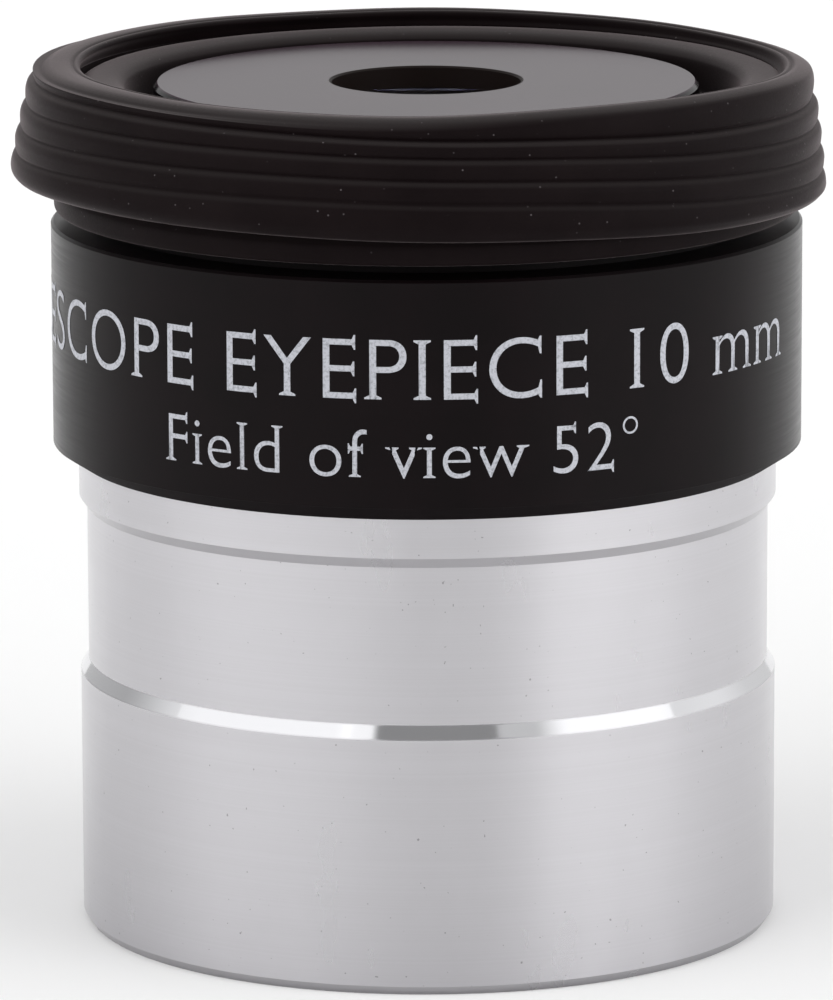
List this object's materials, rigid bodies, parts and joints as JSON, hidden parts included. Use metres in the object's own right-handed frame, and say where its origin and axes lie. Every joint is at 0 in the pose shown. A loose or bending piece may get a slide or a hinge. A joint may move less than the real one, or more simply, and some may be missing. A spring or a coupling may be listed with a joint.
{
  "type": "telescope eyepiece",
  "caption": "Short-focus telescope eyepiece with a bright undercut nosepiece, a black housing, a flat eye plate and a ribbed fold-down rubber eyecup.",
  "frame": {"origin": "centre of the barrel's lower face, on the floor the eyepiece stands on", "axes": "+Z along the optical axis towards the eye; -Y faces the front of the marking"},
  "size_m": [0.0368, 0.0368, 0.0394],
  "materials": {
    "barrel_metal": "bright satin turned, faint turning rings, polished bevels",
    "black_anodised": "satin black anodised",
    "eye_plate_black": "smooth black anodised",
    "coated_glass": "clear with a purple-blue anti-reflection coating",
    "crown_glass": "clear polished",
    "spacer_metal": "matte black anodised",
    "stop_black": "dead black anodised",
    "marking_paint": "silver-white filling in the engraved marking",
    "rubber": "matte moulded rubber"
  },
  "bodies": {
    "barrel": {"barrel": "barrel_metal"},
    "stop_carrier": {"field_stop": "stop_black"},
    "head": {"housing": "black_anodised", "lens_cell": "eye_plate_black", "eye_flint": "coated_glass", "eye_crown": "crown_glass", "lens_spacer": "spacer_metal", "field_crown": "crown_glass", "field_flint": "coated_glass", "lens_retainer": "spacer_metal", "eyecup_band": "rubber"},
    "eyecup": {"eyecup_skirt": "rubber", "eyecup_web": "rubber"}
  },
  "joints": [
    {"name": "head_rise", "type": "slide", "parent": "barrel", "child": "stop_carrier", "axis": [0, 0, 1], "range_m": [0, 0.00375]},
    {"name": "barrel_unscrew", "type": "hinge", "parent": "stop_carrier", "child": "head", "pos_m": [0, 0, 0.0215], "axis": [0, 0, 1], "range_deg": [0, 1800.01]},
    {"name": "eyecup_raise", "type": "slide", "parent": "head", "child": "eyecup", "axis": [0, 0, 1], "range_m": [0, 0.0052], "deforming": ["eyecup_web"]}
  ],
  "couplings": [
    {"joint": "barrel_unscrew", "follows": "head_rise", "rad_per_m": 8377.6}
  ]
}
